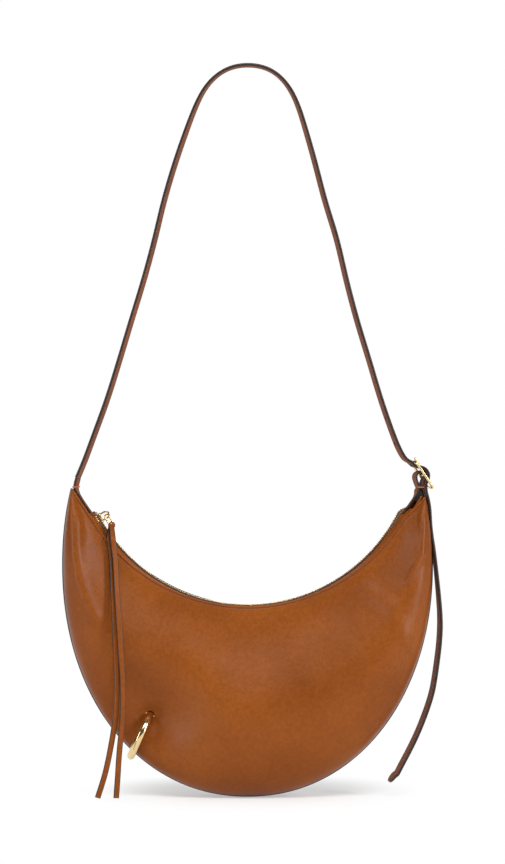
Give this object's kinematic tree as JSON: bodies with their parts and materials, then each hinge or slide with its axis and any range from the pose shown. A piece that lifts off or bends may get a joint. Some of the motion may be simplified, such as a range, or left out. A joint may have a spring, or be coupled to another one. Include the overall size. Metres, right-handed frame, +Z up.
{
  "type": "crossbody bag",
  "caption": "Crescent crossbody bag in leather with a curved zip mouth, an adjustable strap with a small buckle, a hanging zip pull and a piercing ring.",
  "frame": {"origin": "underside of the strap at its highest point, where a shoulder or hook carries it", "axes": "+Z up, +X to the right seen from the front, the front faces -Y"},
  "size_m": [0.3497, 0.0759, 0.6768],
  "materials": {
    "tan_leather": "smooth fine-grained tan leather",
    "strap_leather": "tan leather with dark painted edges",
    "lining": "woven cotton lining",
    "zip_tape": "woven zip tape",
    "gold_metal": "polished pale gold plating",
    "dark_metal": "dark lacquered metal",
    "thread": "waxed sewing thread"
  },
  "bodies": {
    "strap": {"strap": "strap_leather", "buckle_frame": "gold_metal", "buckle_bar": "gold_metal", "tab_loop": "strap_leather", "tab_bar_tack": "thread"},
    "bag": {"front_panel": "tan_leather", "back_panel": "tan_leather", "lining_front": "lining", "lining_back": "lining", "inner_pocket": "lining", "gusset_left": "tan_leather", "gusset_right": "tan_leather", "facing_front": "tan_leather", "facing_back": "tan_leather", "zip_tape_front": "zip_tape", "zip_tape_back": "zip_tape", "zip_teeth_front": "gold_metal", "zip_teeth_back": "gold_metal", "zip_stop_left": "gold_metal", "zip_stop_right": "gold_metal", "strap_root": "strap_leather", "tab_root": "strap_leather", "eyelet_front": "dark_metal", "eyelet_back": "dark_metal"},
    "slider": {"slider_body": "gold_metal", "slider_bridge": "gold_metal"},
    "pull_loop": {"pull_loop": "gold_metal"},
    "pull_fold": {"thong_fold": "tan_leather"},
    "pull_head": {"thong_keeper": "tan_leather"},
    "pull_tails": {"thong_tail_left": "tan_leather", "thong_tail_right": "tan_leather"},
    "prong": {"buckle_prong": "gold_metal"},
    "tail": {"strap_tail": "strap_leather"},
    "ring": {"piercing_ring": "gold_metal"}
  },
  "joints": [
    {"name": "bag_swing", "type": "hinge", "parent": "strap", "child": "bag", "pos_m": [0, 0, -0.378], "axis": [1, 0, 0], "range_deg": [-90, 90], "deforming": ["strap_root", "tab_root"]},
    {"name": "zip_slide", "type": "hinge", "parent": "bag", "child": "slider", "pos_m": [0, 0, -0.342], "axis": [0, -1, 0], "range_deg": [0, 122]},
    {"name": "loop_flip", "type": "hinge", "parent": "slider", "child": "pull_loop", "pos_m": [-0.13082, 0, -0.41452], "axis": [0, -1, 0], "range_deg": [0, 60]},
    {"name": "fold_turn", "type": "hinge", "parent": "pull_loop", "child": "pull_fold", "pos_m": [-0.12549, 0, -0.42414], "axis": [0, -1, 0], "range_deg": [-60, 0]},
    {"name": "head_turn", "type": "hinge", "parent": "pull_fold", "child": "pull_head", "pos_m": [-0.12549, 0, -0.42414], "axis": [0, -1, 0], "range_deg": [-122, 0]},
    {"name": "tails_swing", "type": "hinge", "parent": "pull_head", "child": "pull_tails", "pos_m": [-0.12549, -0.00531, -0.42414], "axis": [-1, 0, 0], "range_deg": [0, 75]},
    {"name": "prong_lift", "type": "hinge", "parent": "strap", "child": "prong", "pos_m": [0.16103, 0, -0.3772], "axis": [0, 1, 0], "range_deg": [0, 6]},
    {"name": "tail_swing", "type": "hinge", "parent": "strap", "child": "tail", "pos_m": [0.16607, 0, -0.39238], "axis": [0, -1, 0], "range_deg": [0, 55]},
    {"name": "ring_turn", "type": "hinge", "parent": "bag", "child": "ring", "pos_m": [-0.09874, 0, -0.61763], "axis": [0.9063, 0, -0.4226], "continuous": true}
  ],
  "couplings": [
    {"joint": "fold_turn", "follows": "loop_flip", "ratio": -1},
    {"joint": "head_turn", "follows": "zip_slide", "ratio": -1}
  ]
}
